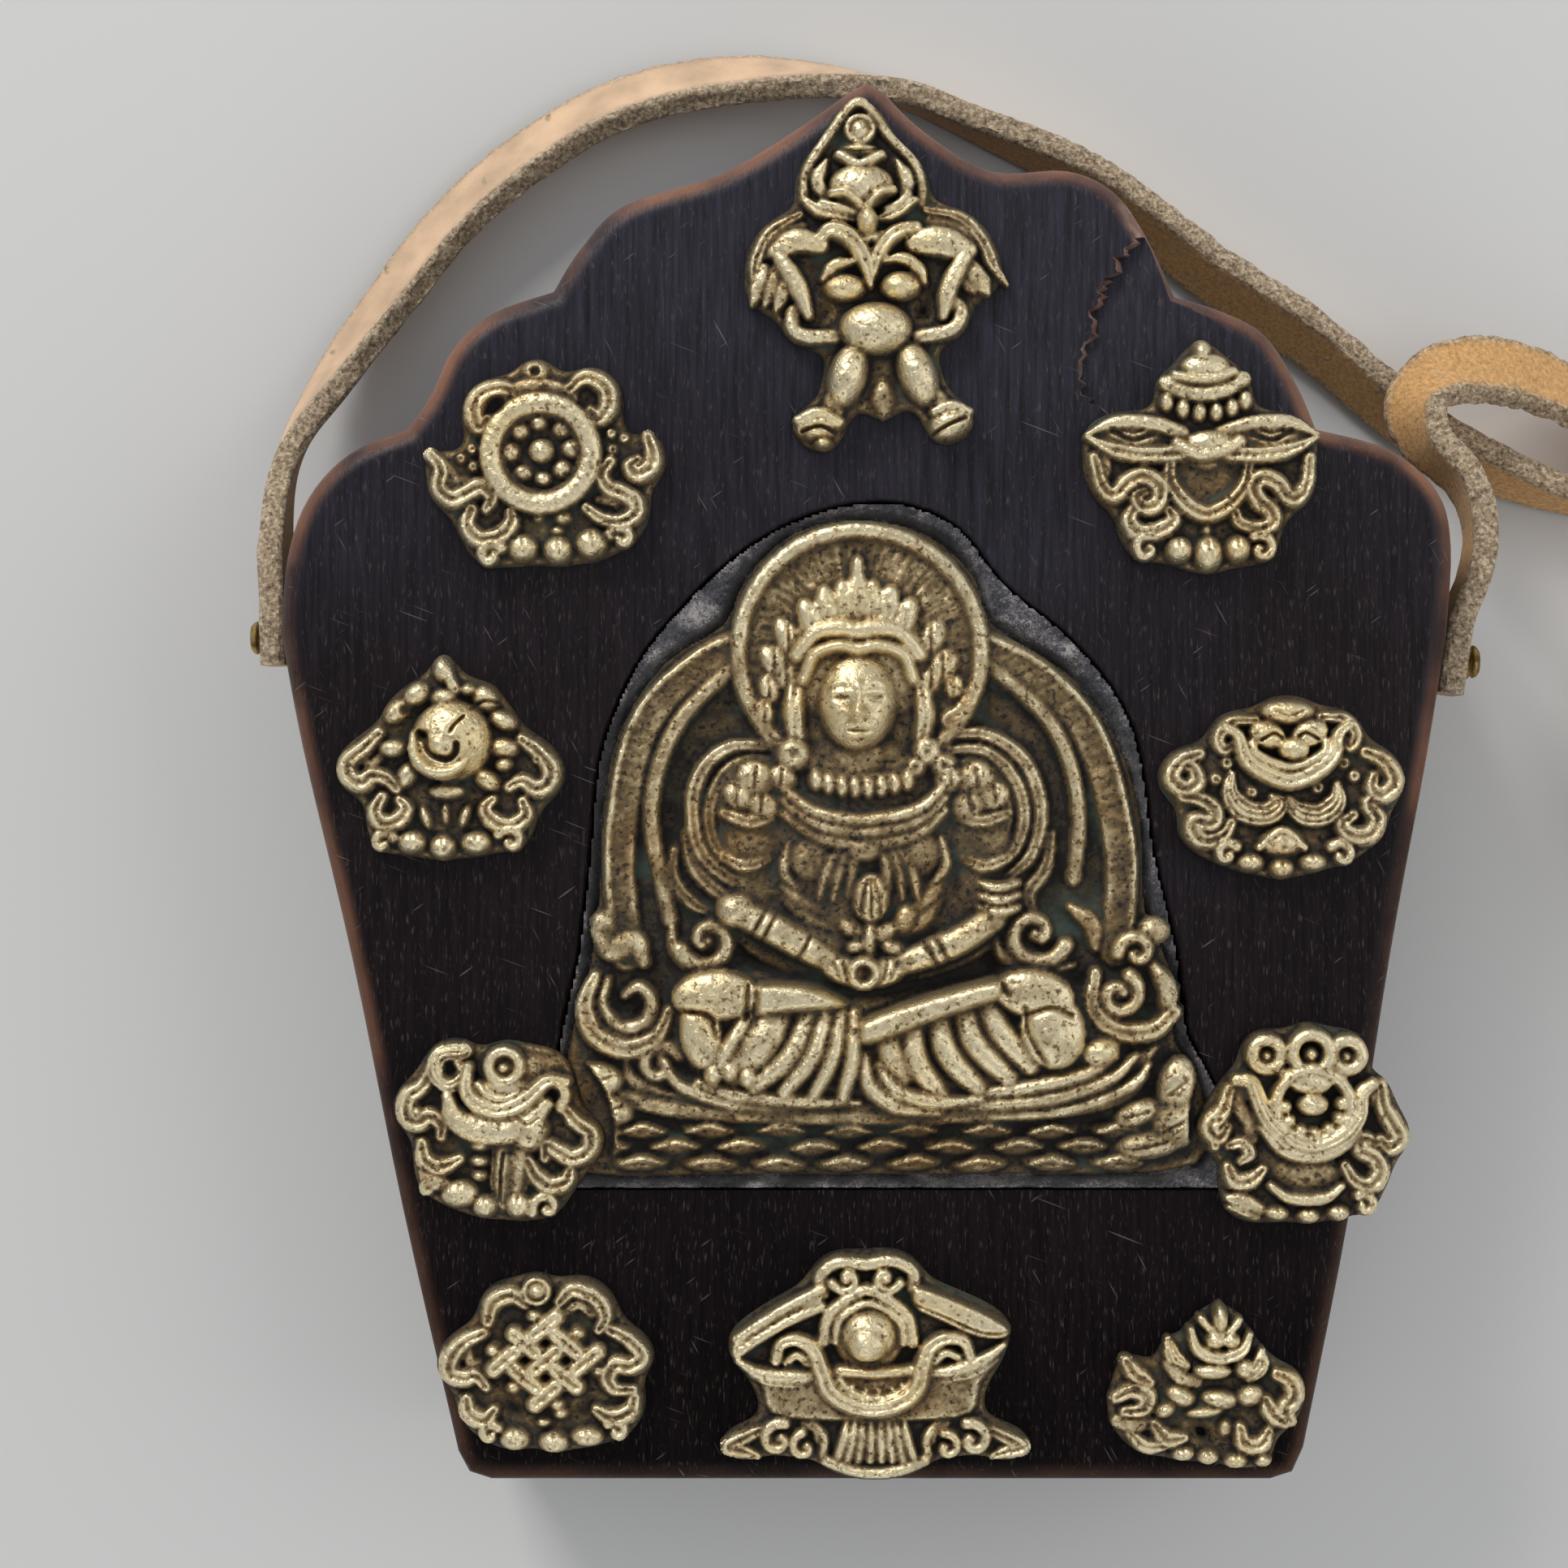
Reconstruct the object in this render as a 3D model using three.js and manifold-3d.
// Himalayan prayer box (gau): a carved hardwood case with a sliding back, cast brass
// ornaments, a deity plaque in a niche, and a leather carrying strap.
// Millimetres. The box lies on its back: +X is its right, +Y its crown, +Z its front.

import * as THREE from 'three';
import { mergeVertices } from 'three/addons/utils/BufferGeometryUtils.js';
import Module from 'manifold-3d';

const wasm = await Module();
wasm.setup();

// Driving dimensions of the case
const HALF_WIDTH = 72.5;
const HALF_HEIGHT = 86.5;
const DEPTH = 38;
const EDGE_ROUND = 2.4;
const FIT_GAP = 0.3;

// How far two joined boxes overlap, the bevel a slab is given, and how near two corners are one
const OVERLAP = 0.1;
const HAIR = 0.01;
const SAME_PLACE = 1e-4;

// The hollow for the scroll, open at the back, and the grooves of the sliding cover
const HOLLOW = { halfWidth: 38, bottom: -74, top: 30, roof: 26 };
const COVER = { end: -84, top: 34, lipHalf: 41, tongueHalf: 44, under: 0.6, step: 2.6, upper: 5 };
const GROOVE_GAP = 0.35;

// The niche in the front, its packing and the plaque
const NICHE_DEPTH = 4;
const PACKING = 1.6;
const PLATE = 1.3;

// Brass pins that hold the ornaments
const PIN = { radius: 0.8, length: 4.5, sink: 4.9 };

// The strap: a flat strip of leather
const STRAP = { width: 9.5, thick: 3.2 };
const COIL = {
  x: 136, y: 3, z: 5.05, pitch: 4.1, innerRadius: 8, outerRadius: 33, stepsPerTurn: 18, bendSteps: 8,
};
const TACK = {
  headRadius: 2.1, head: 1, shaftRadius: 0.7, holeRadius: 1.05, out: 77.4, apart: 4.8, z: 26, deep: 5,
};

// Colours and finishes
const FINISH = {
  wood: { color: 0x2a1a1a, roughness: 0.42, metalness: 0 },
  brass: { color: 0xb59a56, roughness: 0.38, metalness: 0.9 },
  packing: { color: 0x55525a, roughness: 1, metalness: 0 },
  leather: { color: 0xa67650, roughness: 0.8, metalness: 0 },
  paper: { color: 0xd8c8a0, roughness: 0.9, metalness: 0 },
  thread: { color: 0x8c2a20, roughness: 0.9, metalness: 0 },
};

const root = new THREE.Group();
root.name = 'prayer_box';

function v2(points) {
  return points.map(([x, y]) => new THREE.Vector2(x, y));
}

// A geometry as a solid, with its faces turned outwards
function solid(geometry) {
  const bare = geometry.clone();
  bare.deleteAttribute('normal');
  bare.deleteAttribute('uv');
  const merged = mergeVertices(bare, SAME_PLACE);
  const position = merged.attributes.position;
  const index = Array.from(merged.index.array);
  const corner = (i) => new THREE.Vector3().fromBufferAttribute(position, i);
  const kept = [];
  let volume = 0;
  for (let i = 0; i < index.length; i += 3) {
    const [a, b, c] = [index[i], index[i + 1], index[i + 2]];
    if (a === b || b === c || c === a) continue;
    volume += corner(a).dot(corner(b).cross(corner(c)));
    kept.push(a, b, c);
  }
  if (volume < 0) {
    for (let i = 0; i < kept.length; i += 3) {
      [kept[i + 1], kept[i + 2]] = [kept[i + 2], kept[i + 1]];
    }
  }
  return new wasm.Manifold(new wasm.Mesh({
    numProp: 3,
    vertProperties: Float32Array.from(position.array),
    triVerts: Uint32Array.from(kept),
  }));
}

function toGeometry(manifold) {
  const mesh = manifold.getMesh();
  const geometry = new THREE.BufferGeometry();
  geometry.setAttribute('position', new THREE.BufferAttribute(mesh.vertProperties, 3));
  geometry.setIndex(new THREE.BufferAttribute(mesh.triVerts, 1));
  geometry.computeVertexNormals();
  return geometry;
}

function addNode(name, manifold, finish) {
  const mesh = new THREE.Mesh(toGeometry(manifold), new THREE.MeshStandardMaterial(FINISH[finish]));
  mesh.name = name;
  root.add(mesh);
  return mesh;
}

function unite(parts) {
  return parts.reduce((whole, part) => whole.add(part));
}

function box(x0, y0, z0, x1, y1, z1) {
  const geometry = new THREE.BoxGeometry(x1 - x0, y1 - y0, z1 - z0);
  geometry.translate((x0 + x1) / 2, (y0 + y1) / 2, (z0 + z1) / 2);
  return solid(geometry);
}

// A closed turned form about the vertical through (x, y)
function turned(profile, x, y, z, segments) {
  const geometry = new THREE.LatheGeometry(v2(profile), segments);
  geometry.rotateX(Math.PI / 2);
  geometry.translate(x, y, z);
  return solid(geometry);
}

function rod(radius, z0, z1, x, y, segments = 8) {
  return turned([[0, z0], [radius, z0], [radius, z1], [0, z1]], x, y, 0, segments);
}

// The case outline: from the crown's point down each side, lobe by lobe. The point where two
// lobes meet is a cusp, and each lobe is a smooth curve through its few points.
const LEFT_LOBES = [
  [[0, HALF_HEIGHT], [-8.9, 80.6], [-18.1, 75.2], [-30, 71.3], [-35.4, 66], [-38.8, 60.6]],
  [[-38.8, 60.6], [-46.2, 58], [-51.2, 53.6], [-54, 47.8], [-56.9, 43.6]],
  [[-56.9, 43.6], [-64, 40.6], [-69.2, 35], [-71.8, 27.5], [-HALF_WIDTH, 18]],
  [[-HALF_WIDTH, 18], [-69.8, 3.7], [-63.7, -22.3], [-57.5, -52.9], [-50.6, -83]],
];
const FOOT = [[-50.6, -83], [-49.2, -85.6], [-46.4, -HALF_HEIGHT], [50, -HALF_HEIGHT], [52.8, -85.6]];
const RIGHT_LOBES = [
  [[54.2, -82.5], [59.8, -54.1], [65, -21.3], [69.4, 2.5], [71.9, 18]],
  [[71.9, 18], [HALF_WIDTH, 29], [70.8, 35.8], [65, 41], [55.7, 43.6]],
  [[55.7, 43.6], [53.4, 49], [49.4, 55.2], [44, 58.2], [38.2, 60]],
  [[38.2, 60], [34.6, 67.6], [30.6, 73], [24.8, 75.6], [15.4, 75.6], [7, 80.6], [0, HALF_HEIGHT]],
];
const LOBE_STEPS = 6;

function caseOutline() {
  const side = (lobes) => lobes.flatMap((lobe) => (
    new THREE.SplineCurve(v2(lobe)).getPoints(LOBE_STEPS).slice(0, -1)));
  return [...side(LEFT_LOBES), ...v2(FOOT), ...side(RIGHT_LOBES)];
}

const NICHE_TOP = [[-34.2, -9], [-33.2, 2], [-30.4, 10.5], [-25.8, 18.2], [-16.5, 27.6], [-6.8, 33],
  [3.2, 34.4], [11.2, 31.4], [17, 24.4], [26.4, 16.4], [33, 6.4], [35.6, -9]];
const NICHE_FOOT = [[38.4, -21], [39.6, -31], [43.4, -38], [43.4, -50.4], [-38.2, -50.4],
  [-38.2, -33], [-35.6, -21]];

function nicheOutline() {
  const arch = new THREE.SplineCurve(v2(NICHE_TOP)).getPoints(16);
  return [...arch, ...v2(NICHE_FOOT)];
}

function slab(points, z0, z1, inset = 0) {
  const geometry = new THREE.ExtrudeGeometry(new THREE.Shape(points), {
    depth: z1 - z0 - 2 * HAIR,
    bevelEnabled: inset > 0,
    bevelThickness: HAIR,
    bevelSize: HAIR,
    bevelOffset: -inset,
    bevelSegments: 1,
  });
  geometry.translate(0, 0, z0 + HAIR);
  return solid(geometry);
}

// Relief language shared by every casting. Each form starts at the plate's underside.
const DOME_SIDES = 6;
const CASTING_TOLERANCE = 0.55;

function dome(x, y, rx, ry, height, turn = 0) {
  const profile = [[0, 0], [1, 0], [0.86, 0.62], [0, 1]];
  const geometry = new THREE.LatheGeometry(v2(profile), DOME_SIDES);
  geometry.rotateX(Math.PI / 2);
  geometry.scale(rx, ry, height);
  geometry.rotateZ(turn);
  geometry.translate(x, y, 0);
  return solid(geometry);
}

// A raised ridge along a curve through the points: width at its foot, height at its crest
function stroke(points, width, height) {
  const path = new THREE.CatmullRomCurve3(points.map(([x, y]) => new THREE.Vector3(x, y, 0)));
  const section = new THREE.Shape(v2([[0, width / 2], [0, -width / 2], [-height, 0]]));
  const steps = points.length - 1;
  return solid(new THREE.ExtrudeGeometry(section, { steps, bevelEnabled: false, extrudePath: path }));
}

function ring(x, y, radius, width, height, segments = 14) {
  const [inner, outer] = [radius - width / 2, radius + width / 2];
  const profile = [[inner, 0], [outer, 0], [outer, height * 0.7], [radius, height],
    [inner, height * 0.7], [inner, 0]];
  return turned(profile, x, y, 0, segments);
}

function plate(points, height = PLATE) {
  return slab(v2(points), 0, height);
}

function mirrored(points) {
  return points.map(([x, y]) => [-x, y]);
}

// The curling ribbons, the three lotus lobes and the small end curls round eight ornaments
const RIBBON = [[12.6, 3.6], [12.8, 0], [9.4, -0.6], [7, -2], [10.2, -5], [9.4, -7.8], [5.6, -6.4]];
const SHOULDER_CURL = [[8.4, 3.6], [8.2, 7.6], [3.4, 8.6]];
const FIELD = [[-13.6, 3.6], [-9.6, 5.4], [-8.6, 8.4], [0, 11.4], [8.6, 8.4], [9.6, 5.4], [13.6, 3.6],
  [13.4, -1.4], [10, -2.6], [11.6, -5.6], [9.6, -11.6], [4, -12.4], [-4, -12.4], [-9.6, -11.6],
  [-11.6, -5.6], [-10, -2.6], [-13.4, -1.4]];

function surround(withShoulders = true) {
  const parts = [plate(FIELD, 1.1)];
  for (const side of [RIBBON, mirrored(RIBBON)]) parts.push(stroke(side, 1.7, 2.4));
  if (withShoulders) {
    for (const side of [SHOULDER_CURL, mirrored(SHOULDER_CURL)]) parts.push(stroke(side, 1.7, 2.4));
  }
  for (const [x, y] of [[-4.2, -10.6], [0, -11], [4.2, -10.6]]) parts.push(dome(x, y, 2, 1.8, 3.4));
  for (const x of [-8.4, 8.4]) parts.push(dome(x, -10.4, 1.4, 1.3, 2.8));
  return parts;
}

function wheel() {
  const parts = [...surround(), ring(0, 1.6, 6.6, 1.7, 3), dome(0, 1.6, 1.7, 1.7, 3.6)];
  for (let i = 0; i < 8; i += 1) {
    const angle = (i * Math.PI) / 4;
    parts.push(dome(3.6 * Math.cos(angle), 1.6 + 3.6 * Math.sin(angle), 1.2, 1.2, 2.8));
  }
  parts.push(dome(0, 11.4, 1.5, 1.5, 2.6));
  return parts;
}

function parasol() {
  const ear = [[2.4, 3], [6.5, 0.8], [11.6, 1.4], [14, 3], [10.6, 4.6], [5, 4]];
  const parts = [...surround(false), plate([[-5.2, 4], [-4.6, 7], [0, 14], [4.6, 7], [5.2, 4]], 2)];
  parts.push(dome(0, 12.2, 1.6, 1.9, 3.4), dome(0, 9, 3.6, 2.4, 3.2));
  parts.push(stroke([[-4.8, 7.4], [0, 5.6], [4.8, 7.4]], 1.5, 3.4));
  for (const x of [-4.4, -2.2, 0, 2.2, 4.4]) parts.push(dome(x, 4 - 0.04 * x * x, 1.2, 1.6, 3));
  for (const side of [ear, mirrored(ear)]) parts.push(plate(side, 1.6), stroke(side.slice(0, 4), 1.9, 3));
  parts.push(dome(0, 1.6, 2.4, 1.9, 3.2));
  parts.push(stroke([[-4.6, -0.6], [-3.6, -4], [0, -6], [3.6, -4], [4.6, -0.6]], 1.7, 2.8));
  return parts;
}

function conch() {
  const parts = [...surround(false), dome(0, 2, 5.2, 5, 5)];
  parts.push(stroke([[-3.4, 3.4], [-2.4, 0], [0.8, -0.4], [2.2, 2], [0.6, 3.6]], 1.2, 5.6));
  parts.push(dome(-0.4, 11, 1.8, 2.2, 3.6), dome(0, 7.6, 2, 1.3, 3.2));
  for (const side of [-1, 1]) {
    parts.push(dome(side * 4.6, 7.6, 2, 2, 2.8), dome(side * 7.2, 4.4, 1.9, 1.6, 2.8));
    parts.push(dome(side * 6.6, 0.2, 1.9, 1.9, 2.8), dome(side * 3.2, -6.6, 1, 2, 2.6, side * -0.4));
  }
  parts.push(dome(0, -4.6, 2.4, 1.3, 3));
  return parts;
}

function goldenFish() {
  const band = [[-5.8, 8.4], [-5.6, 5], [-3, 2.6], [0, 1.4], [3, 2.6], [5.6, 5], [5.8, 8.4]];
  const tail = [[6.6, -0.4], [5.4, -3.6], [2.6, -4.4], [0.6, -2.2]];
  const parts = [...surround(), dome(0, 10.2, 3.4, 1.8, 3), stroke(band, 1.6, 3.4)];
  for (const side of [-1, 1]) parts.push(dome(side * 2.6, 6.6, 2.6, 1.6, 3.8, side * 0.35));
  for (const side of [tail, mirrored(tail)]) parts.push(stroke(side, 2.2, 3));
  parts.push(dome(0, -6.8, 2.8, 2, 3.4), dome(0, 4, 1.6, 1.3, 2.6));
  return parts;
}

function victoryBanner() {
  const drape = [[-7.8, 8.4], [-5.4, 8.2], [-4.2, 4.4], [-0.8, 2.2], [3, 4.4], [6.6, 7.6], [8.4, 6.4]];
  const parts = [...surround(false), plate([[-9, 9.4], [-6, 11.2], [10.6, 9.4], [9.6, 5], [-9, 5]], 1.8)];
  parts.push(stroke(drape, 1.9, 3.6), dome(0, 8.4, 1.5, 1.6, 3.8));
  parts.push(stroke([[-3, 6.6], [0, 5.4], [3.4, 6.8]], 1.5, 3));
  parts.push(dome(-3, 0.8, 4, 1.8, 3.2, -0.3), dome(3, 0.6, 3.4, 2.4, 3.4, 0.4));
  for (const [y, width] of [[-2.2, 2.2], [-4.6, 1.9], [-6.8, 1.7]]) parts.push(dome(-2.2, y, width, 1.1, 3));
  parts.push(stroke([[1.2, -1], [1.2, -8.6]], 2.6, 2.8));
  return parts;
}

function treasureVase() {
  const collar = [[-9.4, 6.6], [-7, 6], [-4.6, 0.6], [0.2, -1.4], [5, 0.6], [7, 6], [9.4, 6.6]];
  const parts = [...surround(false), plate([[-8.6, 4], [-7.6, 10], [0, 13], [7.6, 10], [8.6, 4]], 1.8)];
  parts.push(dome(0, 9.4, 2.6, 3, 3.6), stroke([[-3.4, 5.8], [0, 4.6], [3.4, 5.8]], 2.4, 3.4));
  for (const x of [-5.6, 5.6]) parts.push(ring(x, 8, 1.7, 1.3, 2.8, 10), dome(x, 8, 1, 1, 2.6));
  parts.push(dome(0, 0.6, 6.2, 4.6, 3.6), stroke(collar, 1.6, 4.2), dome(0, 2.6, 1.8, 1.2, 4.4));
  for (const x of [-3.4, -1.2, 1.2, 3.4]) parts.push(dome(x, 0.9 + 0.08 * x * x, 1.2, 1.3, 4.2));
  parts.push(plate([[-2.4, -4], [2.4, -4], [4.2, -8.4], [-4.2, -8.4]], 2.2));
  parts.push(stroke([[-4.8, -7.2], [0, -8.4], [4.8, -7.2]], 1.3, 3));
  return parts;
}

function endlessKnot() {
  const parts = [...surround(), dome(0, 10.8, 1.6, 1.5, 2.8)];
  parts.push(plate([[-8.4, 2], [0, 9], [8.4, 2], [0, -6.4]], 1.6));
  for (const shift of [-2.1, 0, 2.1]) {
    parts.push(stroke([[-4.4 + shift, 1.2 - shift], [2 + shift, 7 - shift]], 1.5, 3));
    parts.push(stroke([[-4.6 + shift, 3.4 + shift], [3 + shift, -2.4 + shift]], 1.5, 3.4));
  }
  for (const [x, y] of [[0, 8], [7, 1.6], [0, -5], [-7, 1.6]]) parts.push(dome(x, y, 1.4, 1.2, 3));
  return parts;
}

function lotus() {
  const cup = [[-4.6, 6.4], [-3.6, 3.4], [0, 2.2], [3.6, 3.4], [4.6, 6.4]];
  const parts = [...surround(), dome(0, 10, 1.5, 2.8, 4), stroke(cup, 1.5, 3.4)];
  parts.push(dome(-1.6, 5.8, 1.7, 1.5, 3.2), dome(1.6, 5.8, 1.7, 1.5, 3.2), dome(0, 0.2, 3.2, 1.6, 3.6));
  for (const side of [-1, 1]) parts.push(dome(side * 5, -0.2, 2, 2, 3), dome(side * 4.2, -4, 2.4, 1.6, 3));
  parts.push(dome(0, -4, 3.2, 1.8, 3.4));
  return parts;
}

function jewelCasket() {
  const flame = [[-6.1, 3.7], [-5, 7], [-1, 10.1], [2.9, 7], [4.9, 3.7]];
  const cartouche = [[-8.6, 3], [-7, 1.4], [-6.1, -2], [-3.3, -4.5], [0.4, -5.3], [4, -4.2], [6, -1.4],
    [6.4, 1.6], [8, 3.2]];
  const scroll = [[5.8, -7], [5.8, -10.4], [8.3, -12], [10.6, -10.7], [9.8, -8.4], [12.4, -7.2], [13.7, -9],
    [12.4, -11.8], [15.4, -10.6], [18, -10.2]];
  const field = [[-17.6, 1.6], [-16.4, 4.6], [-7.6, 10.4], [-6.4, 13], [4, 13], [5, 10.4], [15.6, 5.8],
    [16.4, 1.6], [12.4, -5.6], [14.8, -7], [18.2, -9.2], [17.6, -11.4], [7, -12.2], [5, -13.2],
    [-5, -13.2], [-7, -12.2], [-17.6, -11.4], [-18.2, -9.2], [-14.8, -7], [-13, -5.6]];
  const parts = [plate(field, 1.1)];
  parts.push(plate([[-15, -0.4], [-12.8, -6.2], [-4, -6.8], [4.4, -6.8], [12, -6], [14, 0.4]], 2.4));
  parts.push(dome(-0.8, 3.7, 3.7, 3.6, 5.4), stroke(flame, 1.7, 3), stroke(cartouche, 1.7, 3.4));
  parts.push(stroke([[-7, 9.4], [-12, 6.2], [-17, 2.8]], 3.2, 2.8));
  parts.push(stroke([[5, 9.4], [10.5, 6.9], [15.6, 4.4]], 3.2, 2.8));
  parts.push(stroke([[-17, 0.4], [-14.8, -1], [-8.3, -1.1]], 1.5, 3.2));
  parts.push(stroke([[15.6, 2], [11.9, -0.2], [7.9, -0.9]], 1.5, 3.2));
  parts.push(dome(-3.6, 11, 1.8, 1.6, 3), dome(0.9, 11, 1.8, 1.6, 3));
  parts.push(stroke([[-4.4, -0.5], [3.4, -0.5]], 1.2, 3.2));
  for (const x of [-2.4, 0, 2.4]) parts.push(stroke([[x, -6.6], [x * 1.2, -11.2]], 1.7, 3));
  parts.push(stroke([[-5.6, -11.6], [0, -12.9], [5.6, -11.6]], 1.2, 2.4));
  for (const side of [scroll, mirrored(scroll)]) parts.push(stroke(side, 1.7, 2.6));
  return parts;
}

function garuda() {
  const field = [[-9.4, 9], [-8.6, 13.4], [-2.3, 21.6], [5.4, 13.4], [6.4, 8.4], [12, 6.4], [16.6, -1.6],
    [13.6, -3], [10.8, -3.8], [11, -6.6], [5.6, -8.4], [8, -14], [12, -17.4], [9.4, -20.8], [5, -18.6],
    [3.4, -14.6], [0.6, -18.2], [-2.6, -14.6], [-4, -19], [-7.4, -21.6], [-10.6, -18.6], [-6.2, -14],
    [-5.6, -8.2], [-10.8, -7.6], [-11, -3.6], [-16.6, -4], [-15.8, 1.4], [-12.6, 5.8]];
  const parts = [plate(field, 1.2)];
  const crest = [[-9.1, 9], [-8.7, 12.9], [-6.4, 16.6], [-2.3, 21], [1.9, 16.9], [5.2, 12.9], [5.5, 8.8]];
  parts.push(stroke(crest, 1.3, 2.4), dome(-2.1, 18.2, 2.1, 2, 3), dome(-2.1, 15, 3.2, 1.3, 3.2));
  parts.push(dome(-1.8, 10.4, 4.4, 2.8, 4.4), dome(-0.9, 6, 1.9, 2.1, 5.6));
  parts.push(stroke([[-9.1, 9], [-5.8, 7], [-2.8, 6]], 1.5, 3));
  parts.push(stroke([[1.2, 7], [3.5, 8.6], [5.5, 9.4]], 1.5, 3));
  parts.push(stroke([[-7.1, 4.3], [-4.4, 4.6], [-2.1, 2.3], [-1.1, -1.2]], 2, 3.8));
  parts.push(stroke([[4.5, 5.3], [1.5, 4], [-0.4, 1.7], [-1.1, -1.7]], 2, 3.8));
  parts.push(stroke([[-7.7, 3.4], [-12.4, 2.8], [-9.9, -1.3], [-8.4, -5.3]], 2.4, 3));
  parts.push(stroke([[4.9, 3.8], [11.2, 2.8], [8.7, -2], [7.5, -5.3]], 2.4, 3));
  parts.push(dome(-3.8, -2, 3, 2, 3.4), dome(2.9, -1.8, 3, 2.1, 3.4), dome(0, -7.3, 4.7, 3.5, 4.6));
  parts.push(stroke([[-9.7, -4.6], [-10.2, -6.8], [-8.2, -7.6], [-5.1, -7.2]], 1.5, 2.6));
  parts.push(stroke([[8.5, -3.3], [10.3, -5], [8.8, -7], [5.2, -7.6]], 1.5, 2.6));
  parts.push(dome(-3.6, -12.4, 2.8, 4.4, 4, -0.2), dome(5, -12.2, 2.8, 4.4, 4, 0.25));
  parts.push(dome(0.5, -15, 2, 2.8, 2.8));
  parts.push(dome(-7.1, -18.8, 3.2, 2.4, 3.4), dome(8.8, -18, 3.1, 2.5, 3.4));
  parts.push(stroke([[5.5, 7.4], [10.2, 6.3], [13.2, 3.3], [16, -1.3]], 1.7, 2.4));
  parts.push(stroke([[-9.1, 6.2], [-13, 5], [-15.2, 1.3], [-15.8, -3]], 1.7, 2.4));
  parts.push(stroke([[11.4, 1.7], [13.6, -2.4]], 1.9, 2.4));
  parts.push(stroke([[-12.2, -0.6], [-13.8, -3.4]], 1.9, 2.4));
  return parts;
}

// The deity plaque, in the box's own coordinates
const PLAQUE_OUTLINE = [[-36, -48.4], [-35.6, -42], [-36.6, -34], [-33.6, -24], [-31.6, -14], [-31.8, -4],
  [-29.6, 7], [-24, 15.6], [-17, 19.6], [-15, 25], [-9, 30.6], [-0.8, 32.2], [7.4, 30.4], [13.4, 25],
  [15.4, 19.4], [24.4, 13.2], [30.4, 5.6], [33.4, -4.4], [33.8, -16], [37.4, -24], [37.6, -32],
  [41.4, -38], [40.8, -47.6], [20, -48.6]];

function seatedFigure() {
  const [head, chest, hands] = [-1.1, -0.8, -0.6];
  const parts = [];
  parts.push(dome(-1, -9, 10.4, 11.5, 5.2), dome(-11.6, -3.6, 4, 5, 4.6), dome(10.4, -3.4, 4, 5, 4.6));
  parts.push(dome(head, 1.8, 3, 4, 7.2), dome(head, 9.7, 4.6, 5.4, 8.6));
  parts.push(dome(head, 15, 6.4, 2.6, 6.6), dome(head, 20.6, 2.4, 5.8, 5.6));
  for (const side of [-1, 1]) {
    parts.push(dome(head + side * 4.2, 18.6, 1.4, 3, 5.4), dome(head + side * 6.4, 16.4, 1.3, 2.4, 5));
    parts.push(dome(head + side * 8.4, 12, 2.2, 2.2, 4.6));
    parts.push(stroke([[head + side * 7.6, 11], [head + side * 7.8, 3]], 1.7, 4.6));
    parts.push(stroke([[chest + side * 13, -4], [chest + side * 16.2, -12], [chest + side * 10.6, -19.4],
      [chest + side * 2, -22.6]], 4.6, 6.4));
    parts.push(dome(hands + side * 6.2, -9, 3.2, 3.4, 6.8));
    parts.push(stroke([[chest + side * 14.6, 0.4], [chest + side * 19.6, -4], [chest + side * 17.4, -11],
      [chest + side * 20.4, -16.6]], 1.6, 3.2));
    parts.push(dome(0.2 + side * 20.6, -30, 8.2, 6.4, 8.4));
  }
  parts.push(stroke([[-13, -25.6], [0, -31.8], [14, -26]], 8.4, 8), dome(0.4, -36.4, 21, 6, 6.8));
  parts.push(dome(hands, -16, 2.2, 3.2, 8), dome(hands, -22.6, 7.4, 2.4, 7.6));
  parts.push(stroke([[-8, 0.6], [-1, -2.2], [6, 0.6]], 2, 6.4));
  parts.push(stroke([[-9.4, -2], [chest, -6.4], [8, -2]], 2.4, 6.6));
  return parts;
}

function plaque() {
  const arch = [[-29.6, -20], [-30.6, -6], [-27.4, 7.4], [-21.2, 15], [-15.6, 18.4]];
  const archRight = [[31.6, -18], [31.4, -5], [28, 6.6], [22, 13], [15.4, 17.6]];
  const inner = [[-24.4, -19], [-25.6, -6], [-22.6, 5.4], [-16, 13]];
  const innerRight = [[26, -17], [26.6, -5], [23.4, 4.4], [15.6, 12.6]];
  const parts = [plate(PLAQUE_OUTLINE, 1.5), ring(-0.8, 16.8, 14.6, 1.9, 3, 28)];
  for (const line of [arch, archRight]) parts.push(stroke(line, 2.6, 3));
  for (const line of [inner, innerRight]) parts.push(stroke(line, 1.5, 3));
  for (const [x, y, radius] of [[-27.4, -26.4, 3.8], [-21, -20.4, 3], [-32.4, -34, 2.4], [21.6, -20, 3],
    [31.4, -21.4, 3.6], [34.4, -29.6, 2.6], [37.4, -39.6, 4]]) parts.push(dome(x, y, radius, radius, 4));
  parts.push(stroke([[-33, -36.6], [-20, -40], [0, -41.2], [20, -40], [33, -36.6]], 2.4, 4.4));
  for (const [row, count] of [[-43.4, 9], [-46.8, 10]]) {
    for (let i = 0; i < count; i += 1) {
      parts.push(dome(-33 + ((i + 0.5) * 70) / count, row, 3.3, 1.6, 3.4));
    }
  }
  return [...parts, ...seatedFigure()];
}

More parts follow.
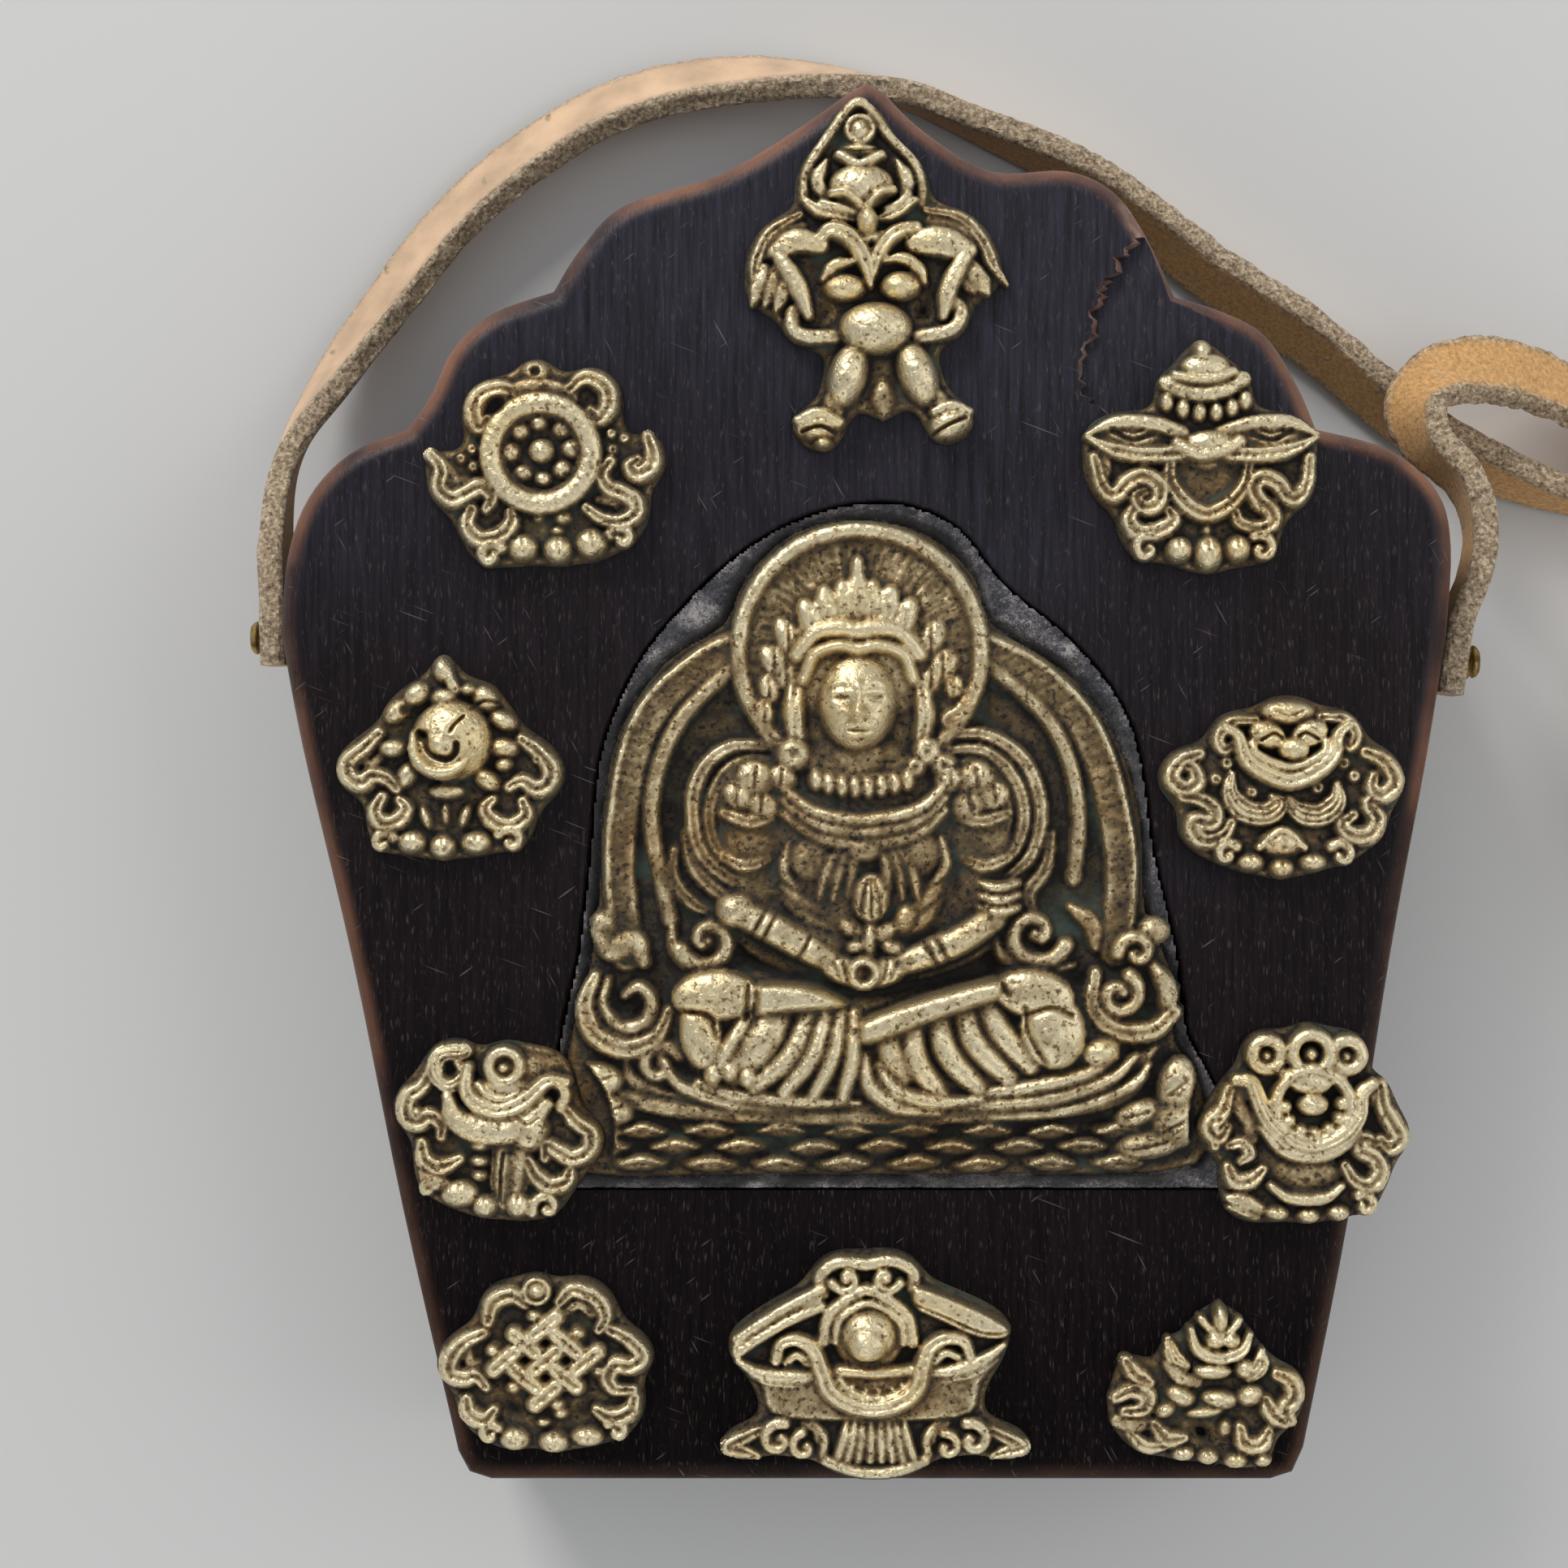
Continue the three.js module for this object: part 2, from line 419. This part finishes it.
// Each ornament: name, forms, place of its middle, size factors, and turn in radians
const ORNAMENTS = [
  ['garuda', garuda, 1.2, 62, 1, 1, 0],
  ['dharma_wheel', wheel, -39.3, 38.7, 1.05, 1.02, 0.09],
  ['parasol', parasol, 41, 39, 1.03, 1.04, -0.03],
  ['conch', conch, -51.1, 2.6, 0.96, 0.98, -0.03],
  ['golden_fish', goldenFish, 51, -1, 1.06, 0.94, -0.03],
  ['victory_banner', victoryBanner, -45, -43.4, 0.9, 0.96, -0.17],
  ['treasure_vase', treasureVase, 53.5, -42.1, 0.94, 1, -0.03],
  ['endless_knot', endlessKnot, -39.3, -72.1, 0.93, 0.92, -0.05],
  ['jewel_casket', jewelCasket, 1, -71.2, 1, 1, 0],
  ['lotus', lotus, 41.9, -73.4, 0.82, 0.86, -0.04],
];
const PLAQUE_PINS = [[-27, -44.6], [30, -44.6], [-25, 1.4], [26.4, 0.4]];

const pinHoles = [];
for (const [name, forms, x, y, sx, sy, turn] of ORNAMENTS) {
  const casting = unite(forms())
    .simplify(CASTING_TOLERANCE)
    .scale([sx, sy, 1])
    .rotate([0, 0, THREE.MathUtils.radToDeg(turn)])
    .translate([x, y, DEPTH + FIT_GAP]);
  addNode(name, casting, 'brass');
  addNode(`${name}_pin`, rod(PIN.radius, DEPTH - PIN.length, DEPTH, x, y), 'brass');
  pinHoles.push(rod(PIN.radius + FIT_GAP, DEPTH - PIN.sink, DEPTH + 1, x, y));
}

const nicheFloor = DEPTH - NICHE_DEPTH;
const packingTop = nicheFloor + FIT_GAP + PACKING;
const plaqueCasting = unite(plaque()).simplify(CASTING_TOLERANCE);
addNode('deity_plaque', plaqueCasting.translate([0, 0, packingTop + FIT_GAP]), 'brass');

const packingHoles = [];
PLAQUE_PINS.forEach(([x, y], i) => {
  addNode(`plaque_pin_${i + 1}`, rod(PIN.radius, nicheFloor - PIN.length, packingTop, x, y), 'brass');
  pinHoles.push(rod(PIN.radius + FIT_GAP, nicheFloor - PIN.sink, nicheFloor + 1, x, y));
  packingHoles.push(rod(PIN.radius + FIT_GAP, nicheFloor - 1, packingTop + 1, x, y));
});
const packing = slab(nicheOutline(), nicheFloor + FIT_GAP, packingTop, FIT_GAP);
addNode('niche_packing', packing.subtract(unite(packingHoles)), 'packing');

// The strap's route: x, y, z of its middle line and its lean from upright in degrees, along
// the table round the crown, from the left tacks to the coil
const LEFT_ROUTE = [[-74.4, 14.6, 26, 0], [-74.5, 22, 26, 0], [-75, 30, 23, 0], [-74.6, 41.5, 15, 10],
  [-69.7, 52.7, 8.4, 30], [-62.5, 63.8, 5.1, 40], [-54, 74.5, 5, 42], [-45.3, 82.1, 5, 42],
  [-34.5, 88.8, 5, 42], [-24.9, 92, 5, 42], [-15.2, 93.2, 5, 36], [-4, 93, 5, 20], [6.4, 91, 5, 5],
  [14.5, 87.6, 5, 0], [23.1, 83.8, 5, -10], [30.1, 80, 5, -20], [36, 75.9, 5, -25], [47.3, 67, 5, -30],
  [60.2, 58.4, 5, -30], [72.6, 48, 5, -25], [82.9, 42, 5, -20], [93.8, 38, 5.05, -8],
  [105, 36.3, 5.05, 0], [114, 36, 5.05, 0], [126.2, 36, 5.05, 0]];
const RIGHT_ROUTE = [[126.2, 40.1, 5.05, 0], [118.5, 40.3, 5.05, 0], [110, 43, 5.4, -10],
  [100, 47.6, 6.4, -35], [92, 51.4, 8.4, -55], [84, 53.6, 11.6, -62], [76, 52.8, 15.4, -55],
  [71.6, 48.6, 18.4, -40], [72.6, 43.4, 20.6, -20], [76.6, 38.6, 22.6, -8], [78.4, 33, 24, 0],
  [77.6, 26.6, 25.2, 0], [75, 20, 26, 0], [73.6, 11, 26, 0]];
const ROUTE_STEPS_PER_POINT = 2;

// A flat strip along rings of middle point, direction and lean, with a blunt end at each end
function strip(frames) {
  const [half, thick, cut] = [STRAP.width / 2, STRAP.thick / 2, 0.7];
  const section = [[half, -thick + cut], [half, thick - cut], [half - cut, thick], [cut - half, thick],
    [-half, thick - cut], [-half, cut - thick], [cut - half, -thick], [half - cut, -thick]];
  const vertices = [];
  const faces = [];
  for (const { point, ahead, lean } of frames) {
    const side = new THREE.Vector3(0, 0, 1).cross(ahead).normalize();
    const up = ahead.clone().cross(side);
    const tilt = THREE.MathUtils.degToRad(lean);
    const wide = up.clone().multiplyScalar(Math.cos(tilt)).addScaledVector(side, -Math.sin(tilt));
    const through = side.clone().multiplyScalar(Math.cos(tilt)).addScaledVector(up, Math.sin(tilt));
    for (const [a, b] of section) {
      const corner = point.clone().addScaledVector(wide, a).addScaledVector(through, b);
      vertices.push(corner.x, corner.y, corner.z);
    }
  }
  const n = section.length;
  for (let i = 0; i < frames.length - 1; i += 1) {
    for (let k = 0; k < n; k += 1) {
      const [a, b] = [i * n + k, i * n + ((k + 1) % n)];
      faces.push(a, b, b + n, a, b + n, a + n);
    }
  }
  const last = (frames.length - 1) * n;
  for (let k = 1; k < n - 1; k += 1) faces.push(0, k + 1, k, last, last + k, last + k + 1);
  const geometry = new THREE.BufferGeometry();
  geometry.setAttribute('position', new THREE.Float32BufferAttribute(vertices, 3));
  geometry.setIndex(faces);
  return solid(geometry);
}

function framesAlong(points, leans) {
  return points.map((point, i) => {
    const before = points[Math.max(0, i - 1)];
    const after = points[Math.min(points.length - 1, i + 1)];
    const ahead = after.clone().sub(before).normalize();
    return { point, ahead, lean: leans[i] };
  });
}

function routeFrames(route) {
  const curve = new THREE.CatmullRomCurve3(route.map(([x, y, z]) => new THREE.Vector3(x, y, z)));
  const count = (route.length - 1) * ROUTE_STEPS_PER_POINT;
  const points = curve.getPoints(count);
  const leans = points.map((_, i) => {
    const at = (i / count) * (route.length - 1);
    const k = Math.min(route.length - 2, Math.floor(at));
    return THREE.MathUtils.lerp(route[k][3], route[k + 1][3], at - k);
  });
  return framesAlong(points, leans);
}

// The coil is one strip: wound inwards, turned back in an S at the middle, and wound out again
function coilPoints() {
  const growth = COIL.pitch / Math.PI;
  const inner = COIL.innerRadius / growth;
  const outer = COIL.outerRadius / growth;
  const step = (2 * Math.PI) / COIL.stepsPerTurn;
  const at = (radius, angle) => new THREE.Vector3(
    COIL.x + radius * Math.cos(angle), COIL.y + radius * Math.sin(angle), COIL.z);
  const arm = (end, half) => {
    const count = Math.round((end - inner) / step);
    return Array.from({ length: count + 1 }, (_, i) => {
      const turn = inner + ((end - inner) * i) / count;
      return at(growth * turn, Math.PI / 2 + turn - outer + half);
    });
  };
  const inwards = arm(outer, 0).reverse();
  const outwards = arm(outer + Math.PI, Math.PI);
  const start = Math.PI / 2 + inner - outer;
  const bend = COIL.innerRadius / 2;
  const turnBack = [];
  for (const [middle, from, sign] of [[start, 0, -1], [start + Math.PI, Math.PI, 1]]) {
    for (let i = 1; i < COIL.bendSteps; i += 1) {
      const angle = middle + from + (sign * Math.PI * i) / COIL.bendSteps;
      turnBack.push(new THREE.Vector3(
        COIL.x + bend * (Math.cos(middle) + Math.cos(angle)),
        COIL.y + bend * (Math.sin(middle) + Math.sin(angle)), COIL.z));
    }
    if (from === 0) turnBack.push(new THREE.Vector3(COIL.x, COIL.y, COIL.z));
  }
  const straight = COIL.x - STRAP.width;
  const first = new THREE.Vector3(straight, inwards[0].y, COIL.z);
  const last = new THREE.Vector3(straight, outwards[outwards.length - 1].y, COIL.z);
  return [first, ...inwards, ...turnBack, ...outwards, last];
}

function lineLength(points) {
  return points.slice(1).reduce((sum, point, i) => sum + point.distanceTo(points[i]), 0);
}

// The least gap between the faces of two turns, measured on points further along than a bend
function leastGap(points) {
  let least = Infinity;
  const apart = COIL.bendSteps + 1;
  for (let i = 0; i < points.length; i += 1) {
    for (let k = i + apart; k < points.length; k += 1) {
      least = Math.min(least, points[i].distanceTo(points[k]) - STRAP.thick);
    }
  }
  return least;
}

const coil = coilPoints();
const coilFrames = framesAlong(coil, coil.map(() => 0));
const leftFrames = routeFrames(LEFT_ROUTE);
const rightFrames = routeFrames(RIGHT_ROUTE);
const strapLength = lineLength(coil) + lineLength(leftFrames.map((f) => f.point))
  + lineLength(rightFrames.map((f) => f.point));
const coilGap = leastGap(coil);
console.log(`strap length ${strapLength.toFixed(0)} mm, least gap in the coil ${coilGap.toFixed(2)} mm`);

// Two tacks pass through each end of the strap into the case's side. Each side: its name, its
// sign along X, the tacks' y, and how far out the case's wall is there.
const TACKS = [
  ['left', -1, 18, 72.3],
  ['right', 1, 15, 71.5],
];
const tackHoles = [];
for (const [side, sign, y, wall] of TACKS) {
  for (const [k, dz] of [[1, -TACK.apart / 2], [2, TACK.apart / 2]]) {
    const alongX = (radius, from, to) => {
      const geometry = new THREE.CylinderGeometry(radius, radius, to - from, 8);
      geometry.rotateZ(Math.PI / 2);
      geometry.translate((sign * (from + to)) / 2, y, TACK.z + dz);
      return solid(geometry);
    };
    const tip = wall - TACK.deep;
    addNode(`strap_tack_${side}_${k}`, alongX(TACK.headRadius, TACK.out - TACK.head, TACK.out)
      .add(alongX(TACK.shaftRadius, tip, TACK.out - TACK.head / 2)), 'brass');
    tackHoles.push(alongX(TACK.holeRadius, tip - FIT_GAP, TACK.out));
  }
}
const holes = unite(tackHoles);
addNode('strap_left', strip(leftFrames).subtract(holes), 'leather');
addNode('strap_right', strip(rightFrames).subtract(holes), 'leather');
addNode('strap_coil', strip(coilFrames), 'leather');

// The case: the outline with rounded edges, less the niche, hollow, grooves and pin holes
const body = solid(new THREE.ExtrudeGeometry(new THREE.Shape(caseOutline()), {
  depth: DEPTH - 2 * EDGE_ROUND,
  bevelEnabled: true,
  bevelThickness: EDGE_ROUND,
  bevelSize: EDGE_ROUND,
  bevelOffset: -EDGE_ROUND,
  bevelSegments: 3,
  curveSegments: 1,
})).translate([0, 0, EDGE_ROUND]);
const hollow = box(-HOLLOW.halfWidth, HOLLOW.bottom, -1, HOLLOW.halfWidth, HOLLOW.top, HOLLOW.roof);
const PAST_FOOT = -100;
const slot = (half, low, high) => box(-half - GROOVE_GAP, PAST_FOOT, low, half + GROOVE_GAP,
  COVER.top + GROOVE_GAP, high + GROOVE_GAP);
const lipSlot = slot(COVER.lipHalf, -1, COVER.step);
const tongueSlot = slot(COVER.tongueHalf, COVER.step - GROOVE_GAP, COVER.upper);
const niche = slab(nicheOutline(), nicheFloor, DEPTH + 1);
addNode('case_body', body.subtract(unite([hollow, lipSlot, tongueSlot, niche, ...pinHoles, holes])), 'wood');

// The back cover slides in its grooves, and a brass knob in its end pulls it out
const KNOB = { radius: 1.1, headRadius: 1.7, out: 2.4, deep: 6 };
const knobHeight = (COVER.under + COVER.upper) / 2;
const alongY = (radius, y0, y1) => {
  const geometry = new THREE.CylinderGeometry(radius, radius, y1 - y0, 10);
  geometry.translate(0, (y0 + y1) / 2, knobHeight);
  return solid(geometry);
};
const cover = box(-COVER.lipHalf, COVER.end, COVER.under, COVER.lipHalf, COVER.top, COVER.step + OVERLAP)
  .add(box(-COVER.tongueHalf, COVER.end, COVER.step, COVER.tongueHalf, COVER.top, COVER.upper));
const knobHole = alongY(KNOB.radius + FIT_GAP, COVER.end - 1, COVER.end + KNOB.deep);
addNode('back_cover', cover.subtract(knobHole), 'wood');
addNode('cover_knob', alongY(KNOB.radius, COVER.end - 1, COVER.end + KNOB.deep - FIT_GAP)
  .add(alongY(KNOB.headRadius, COVER.end - KNOB.out, COVER.end - FIT_GAP)), 'brass');

// The prayer scroll in the hollow: rolled sheets on a stick, tied with thread
const SCROLL = { x: -14, z: 15.5, radius: 9, bore: 2.4, stick: 2, stickOut: 5, from: -60, to: 18 };
const TIE = { gap: 0.35, thick: 0.75, from: -23, to: -19 };
const scrollPart = (profile) => {
  const geometry = new THREE.LatheGeometry(v2(profile), 20);
  geometry.translate(SCROLL.x, 0, SCROLL.z);
  return solid(geometry);
};
const sleeve = (inner, outer, from, to) => scrollPart([[inner, from], [outer, from], [outer, to],
  [inner, to], [inner, from]]);
addNode('prayer_scroll', sleeve(SCROLL.bore, SCROLL.radius, SCROLL.from, SCROLL.to), 'paper');
const [stickFrom, stickTo] = [SCROLL.from - SCROLL.stickOut, SCROLL.to + SCROLL.stickOut];
addNode('scroll_stick', scrollPart([[0, stickFrom], [SCROLL.stick, stickFrom], [SCROLL.stick, stickTo],
  [0, stickTo]]), 'wood');
const tieInner = SCROLL.radius + TIE.gap;
addNode('scroll_tie', sleeve(tieInner, tieInner + TIE.thick, TIE.from, TIE.to), 'thread');

export default root;
